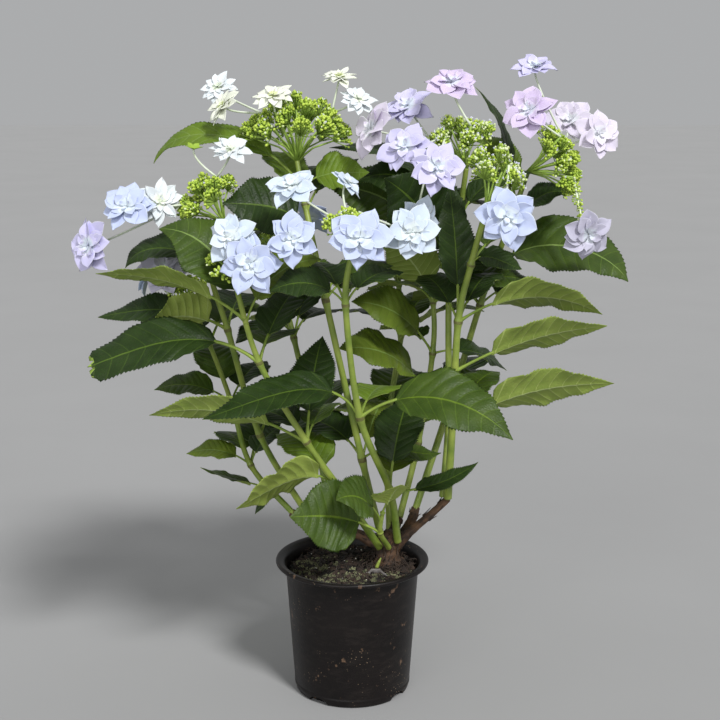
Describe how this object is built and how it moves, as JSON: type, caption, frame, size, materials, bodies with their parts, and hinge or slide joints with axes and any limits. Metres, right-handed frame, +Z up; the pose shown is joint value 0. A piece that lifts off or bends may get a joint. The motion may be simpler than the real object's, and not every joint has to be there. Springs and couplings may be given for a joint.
{
  "type": "potted lacecap hydrangea shrub",
  "caption": "Young lacecap hydrangea with double star florets in a round nursery pot, standing on the pot's flat underside.",
  "frame": {"origin": "centre of the pot's flat underside, on the surface that the pot stands on", "axes": "+Z up, -Y towards the side that the plant is seen from, +X to the right of that view"},
  "size_m": [0.5422, 0.3608, 0.6329],
  "materials": {
    "pot": "satin",
    "soil": "matte",
    "bark": "matte",
    "stem": "satin",
    "foliage": "satin",
    "petals": "matte",
    "petals_white": "matte",
    "petals_pink": "matte"
  },
  "bodies": {
    "root": {"pot": "pot", "soil": "soil", "woody_crown": "bark", "stem_front": "stem", "stem_left": "stem", "stem_far_left": "stem", "stem_upper_left": "stem", "stem_upper_mid": "stem", "stem_middle": "stem", "stem_right": "stem", "stem_far_right": "stem", "stem_low_left": "stem", "stem_basal": "stem", "stem_back_left": "stem", "stem_back_right": "stem", "leaves_front": "foliage", "leaves_left": "foliage", "leaves_far_left": "foliage", "leaves_upper_left": "foliage", "leaves_upper_mid": "foliage", "leaves_middle": "foliage", "leaves_right": "foliage", "leaves_far_right": "foliage", "leaves_low_left": "foliage", "leaves_basal": "foliage", "leaves_back_left": "foliage", "leaves_back_right": "foliage", "bloom_front": "petals", "bloom_left": "petals", "bloom_far_left": "petals", "bloom_upper_left": "petals_white", "bloom_upper_mid": "petals_pink", "bloom_right": "petals", "bloom_far_right": "petals_pink", "bloom_low_left": "petals", "bloom_back_left": "petals", "bloom_back_right": "petals_pink"}
  },
  "joints": []
}
